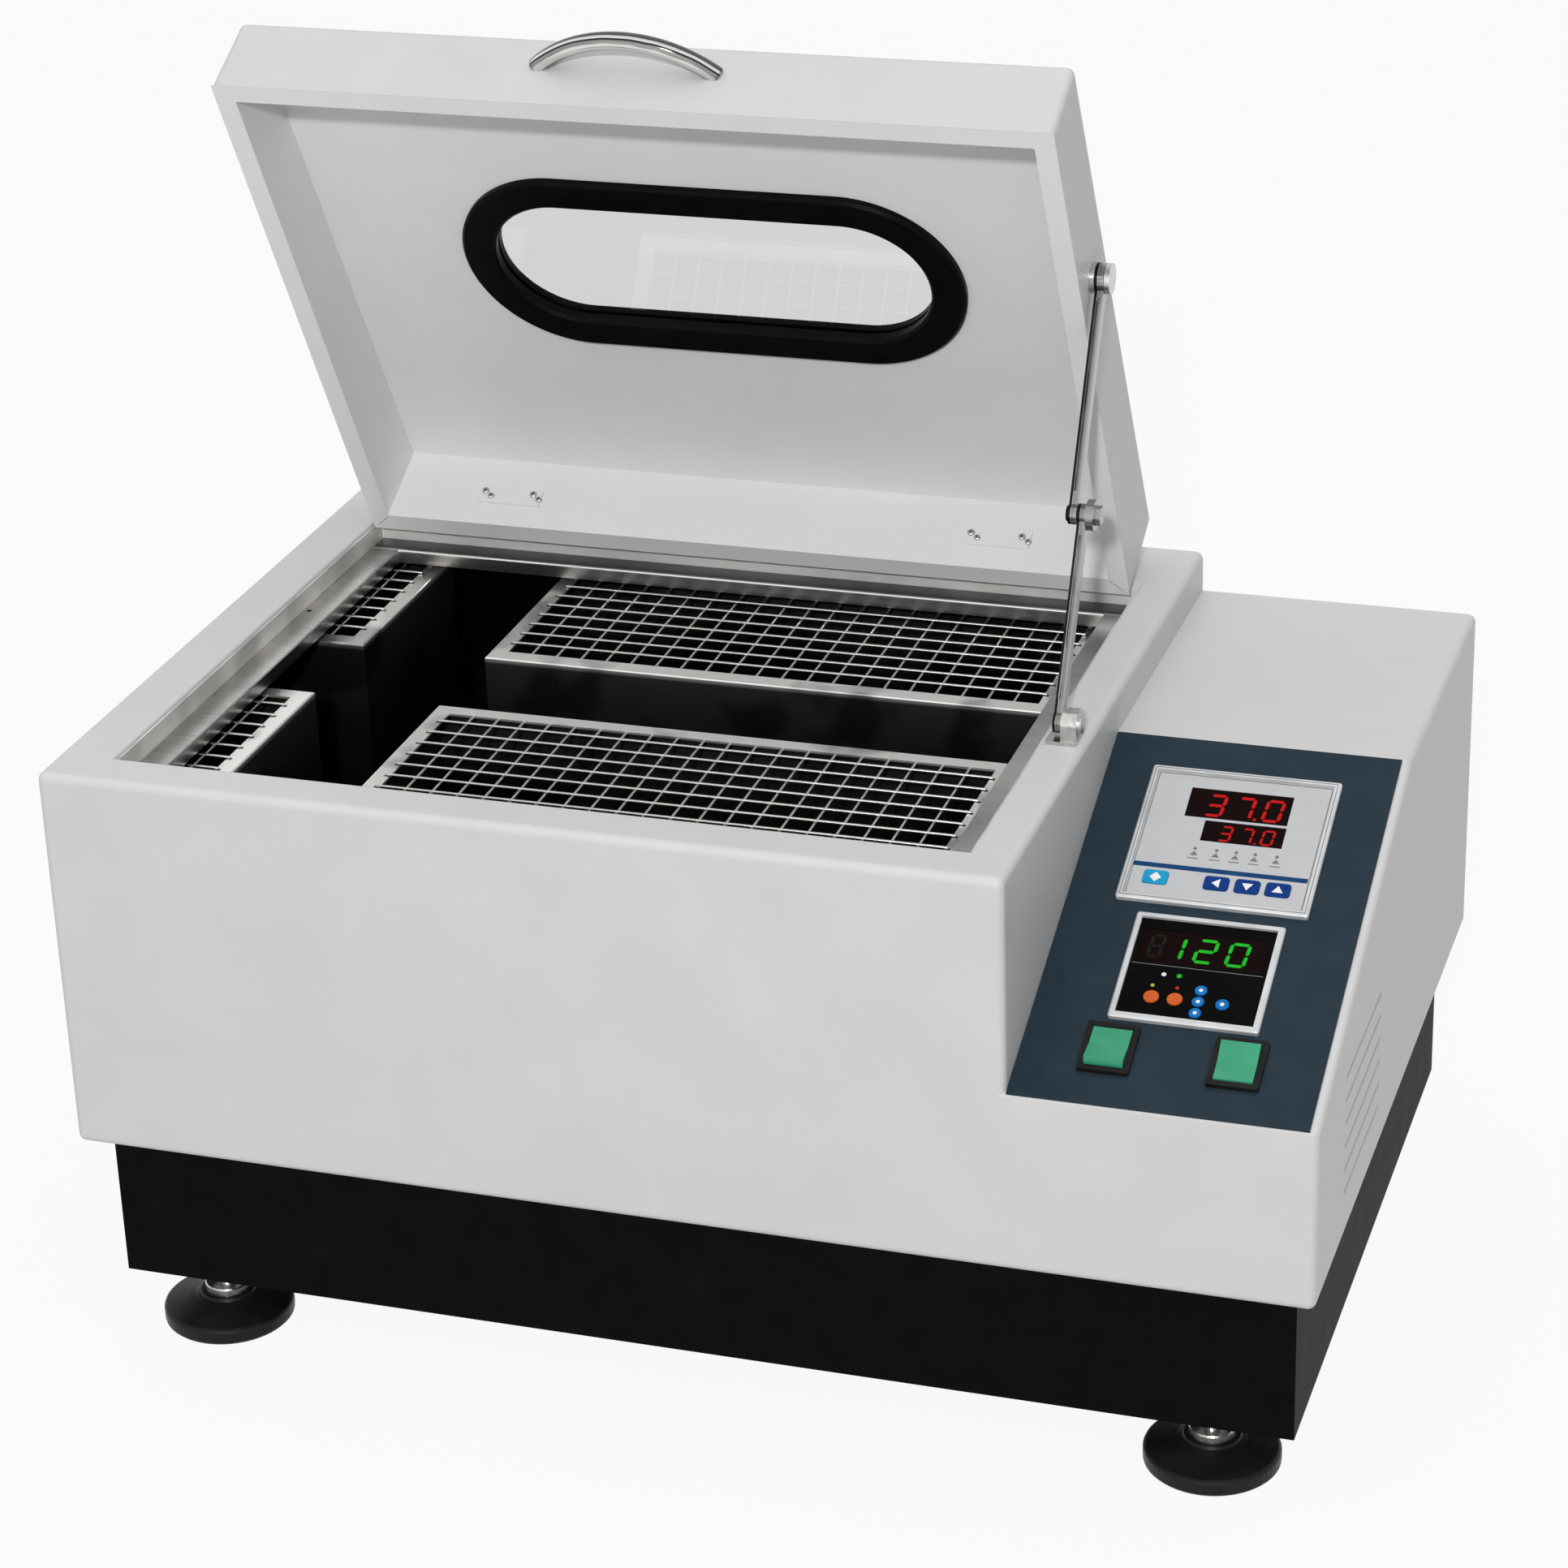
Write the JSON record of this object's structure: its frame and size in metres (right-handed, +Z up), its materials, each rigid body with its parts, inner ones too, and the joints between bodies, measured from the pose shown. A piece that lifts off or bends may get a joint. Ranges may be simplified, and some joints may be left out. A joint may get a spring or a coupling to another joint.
{
  "type": "incubated benchtop shaker",
  "caption": "White benchtop incubator shaker with a hinged windowed lid standing open on a folding stay, sprung racks on an orbital platform and a sloped control console.",
  "frame": {"origin": "on the floor under the middle of the body", "axes": "+Z up, -Y towards the user, +X towards the console"},
  "size_m": [0.658, 0.43, 0.6707],
  "materials": {
    "white_paint": "satin white powder coat",
    "black_paint": "satin black powder coat",
    "stainless": "brushed stainless sheet",
    "slate_paint": "satin slate blue",
    "silver_bezel": "silver lacquer",
    "grey_face": "light grey film",
    "black_face": "black film",
    "display_filter": "dark filter window",
    "key_light_blue": "satin",
    "key_dark_blue": "satin",
    "key_orange": "satin",
    "key_blue_ring": "satin with a pale middle",
    "rocker_green": "translucent green",
    "black_plastic": "moulded",
    "black_rubber": "matte",
    "clear_glass": "clear",
    "chrome": "polished",
    "zinc_steel": "zinc plated",
    "cast_metal": "machined castings",
    "cast_aluminium": "cast, bare",
    "wool": "glass wool slab"
  },
  "bodies": {
    "cabinet": {"casing": "white_paint", "rear_panel": "white_paint", "plinth": "black_paint", "deck": "zinc_steel", "tank": "stainless", "rim_ledge": "stainless", "insulation": "wool", "control_panel": "slate_paint", "temp_housing": "silver_bezel", "temp_face": "grey_face", "speed_housing": "silver_bezel", "speed_face": "black_face", "display_windows": "display_filter", "switch_bodies": "black_plastic", "hinge_leaves_fixed": "zinc_steel", "hinge_pins": "zinc_steel", "stay_bracket": "zinc_steel", "bearing_housings": "cast_metal", "motor": "cast_metal", "drive_belt": "black_rubber", "air_duct": "zinc_steel", "heater": "stainless", "fan_motor": "cast_aluminium", "mains_inlet": "black_plastic"},
    "lid": {"lid_shell": "white_paint", "lid_liner": "white_paint", "window_glass": "clear_glass", "window_gasket": "black_rubber", "handle": "chrome", "hinge_leaves_lid": "zinc_steel", "hinge_backings": "white_paint", "stay_boss": "zinc_steel"},
    "stay_lower": {"stay_lower_arm": "chrome"},
    "stay_upper": {"stay_upper_arm": "chrome"},
    "drive_shaft": {"drive_crank": "zinc_steel", "driven_pulley": "cast_aluminium"},
    "shaking_platform": {"platform": "stainless", "racks_narrow": "stainless", "racks_wide": "stainless", "spring_nets": "stainless"},
    "idler_left": {"idler_crank_left": "zinc_steel"},
    "idler_right": {"idler_crank_right": "zinc_steel"},
    "motor_shaft": {"motor_pulley": "zinc_steel"},
    "fan": {"fan_wheel": "cast_aluminium"},
    "power_switch": {"power_rocker": "rocker_green"},
    "start_switch": {"start_rocker": "rocker_green"},
    "temp_key_set": {"temp_key_set": "key_light_blue"},
    "temp_key_shift": {"temp_key_shift": "key_dark_blue"},
    "temp_key_down": {"temp_key_down": "key_dark_blue"},
    "temp_key_up": {"temp_key_up": "key_dark_blue"},
    "speed_key_start": {"speed_key_start": "key_orange"},
    "speed_key_stop": {"speed_key_stop": "key_orange"},
    "speed_key_up": {"speed_key_up": "key_blue_ring"},
    "speed_key_set": {"speed_key_set": "key_blue_ring"},
    "speed_key_down": {"speed_key_down": "key_blue_ring"},
    "speed_key_mode": {"speed_key_mode": "key_blue_ring"},
    "foot_front_left": {"foot_front_left": "black_plastic"},
    "foot_front_right": {"foot_front_right": "black_plastic"},
    "foot_back_left": {"foot_back_left": "black_plastic"},
    "foot_back_right": {"foot_back_right": "black_plastic"}
  },
  "joints": [
    {"name": "lid_turn", "type": "hinge", "parent": "cabinet", "child": "lid", "pos_m": [0, 0.1626, 0.336], "axis": [1, 0, 0], "range_deg": [0, 62]},
    {"name": "stay_lower_turn", "type": "hinge", "parent": "cabinet", "child": "stay_lower", "pos_m": [0.161, -0.05, 0.342], "axis": [1, 0, 0], "range_deg": [-61.19, 0]},
    {"name": "stay_upper_turn", "type": "hinge", "parent": "lid", "child": "stay_upper", "pos_m": [0.156, 0.06105, 0.53978], "axis": [1, 0, 0], "range_deg": [0, 57.81]},
    {"name": "crank_turn", "type": "hinge", "parent": "cabinet", "child": "drive_shaft", "pos_m": [-0.0755, 0.085, 0.18], "axis": [0, 0, 1], "continuous": true},
    {"name": "platform_turn", "type": "hinge", "parent": "drive_shaft", "child": "shaking_platform", "pos_m": [-0.0855, 0.085, 0.192], "axis": [0, 0, 1], "continuous": true},
    {"name": "idler_left_turn", "type": "hinge", "parent": "cabinet", "child": "idler_left", "pos_m": [-0.209, -0.095, 0.18], "axis": [0, 0, 1], "continuous": true},
    {"name": "idler_right_turn", "type": "hinge", "parent": "cabinet", "child": "idler_right", "pos_m": [0.059, -0.095, 0.18], "axis": [0, 0, 1], "continuous": true},
    {"name": "motor_turn", "type": "hinge", "parent": "cabinet", "child": "motor_shaft", "pos_m": [0.2525, 0.115, 0.1], "axis": [0, 0, 1], "continuous": true},
    {"name": "fan_turn", "type": "hinge", "parent": "cabinet", "child": "fan", "pos_m": [0.191, 0.11, 0.25], "axis": [1, 0, 0], "continuous": true},
    {"name": "power_turn", "type": "hinge", "parent": "cabinet", "child": "power_switch", "pos_m": [0.2195, -0.18314, 0.23182], "axis": [1, 0, 0], "range_deg": [0, 18]},
    {"name": "start_turn", "type": "hinge", "parent": "cabinet", "child": "start_switch", "pos_m": [0.283, -0.18314, 0.23182], "axis": [1, 0, 0], "range_deg": [-18, 0]},
    {"name": "temp_key_set_press", "type": "slide", "parent": "cabinet", "child": "temp_key_set", "axis": [0, -0.3714, 0.9285], "range_m": [-0.0006, 0], "stiffness_N_per_m": 150},
    {"name": "temp_key_shift_press", "type": "slide", "parent": "cabinet", "child": "temp_key_shift", "axis": [0, -0.3714, 0.9285], "range_m": [-0.0006, 0], "stiffness_N_per_m": 150},
    {"name": "temp_key_down_press", "type": "slide", "parent": "cabinet", "child": "temp_key_down", "axis": [0, -0.3714, 0.9285], "range_m": [-0.0006, 0], "stiffness_N_per_m": 150},
    {"name": "temp_key_up_press", "type": "slide", "parent": "cabinet", "child": "temp_key_up", "axis": [0, -0.3714, 0.9285], "range_m": [-0.0006, 0], "stiffness_N_per_m": 150},
    {"name": "speed_key_start_press", "type": "slide", "parent": "cabinet", "child": "speed_key_start", "axis": [0, -0.3714, 0.9285], "range_m": [-0.0006, 0], "stiffness_N_per_m": 150},
    {"name": "speed_key_stop_press", "type": "slide", "parent": "cabinet", "child": "speed_key_stop", "axis": [0, -0.3714, 0.9285], "range_m": [-0.0006, 0], "stiffness_N_per_m": 150},
    {"name": "speed_key_up_press", "type": "slide", "parent": "cabinet", "child": "speed_key_up", "axis": [0, -0.3714, 0.9285], "range_m": [-0.0006, 0], "stiffness_N_per_m": 150},
    {"name": "speed_key_set_press", "type": "slide", "parent": "cabinet", "child": "speed_key_set", "axis": [0, -0.3714, 0.9285], "range_m": [-0.0006, 0], "stiffness_N_per_m": 150},
    {"name": "speed_key_down_press", "type": "slide", "parent": "cabinet", "child": "speed_key_down", "axis": [0, -0.3714, 0.9285], "range_m": [-0.0006, 0], "stiffness_N_per_m": 150},
    {"name": "speed_key_mode_press", "type": "slide", "parent": "cabinet", "child": "speed_key_mode", "axis": [0, -0.3714, 0.9285], "range_m": [-0.0006, 0], "stiffness_N_per_m": 150},
    {"name": "foot_front_left_turn", "type": "hinge", "parent": "cabinet", "child": "foot_front_left", "pos_m": [-0.271, -0.1735, 0.03], "axis": [0, 0, 1], "range_deg": [-180, 180]},
    {"name": "foot_front_right_turn", "type": "hinge", "parent": "cabinet", "child": "foot_front_right", "pos_m": [0.271, -0.1735, 0.03], "axis": [0, 0, 1], "range_deg": [-180, 180]},
    {"name": "foot_back_left_turn", "type": "hinge", "parent": "cabinet", "child": "foot_back_left", "pos_m": [-0.271, 0.1735, 0.03], "axis": [0, 0, 1], "range_deg": [-180, 180]},
    {"name": "foot_back_right_turn", "type": "hinge", "parent": "cabinet", "child": "foot_back_right", "pos_m": [0.271, 0.1735, 0.03], "axis": [0, 0, 1], "range_deg": [-180, 180]}
  ],
  "couplings": [
    {"joint": "stay_lower_turn", "follows": "lid_turn", "ratio": -0.97882},
    {"joint": "stay_upper_turn", "follows": "lid_turn", "ratio": 0.9244},
    {"joint": "platform_turn", "follows": "crank_turn", "ratio": -1},
    {"joint": "idler_left_turn", "follows": "crank_turn", "ratio": 1},
    {"joint": "idler_right_turn", "follows": "crank_turn", "ratio": 1},
    {"joint": "motor_turn", "follows": "crank_turn", "ratio": 4}
  ]
}
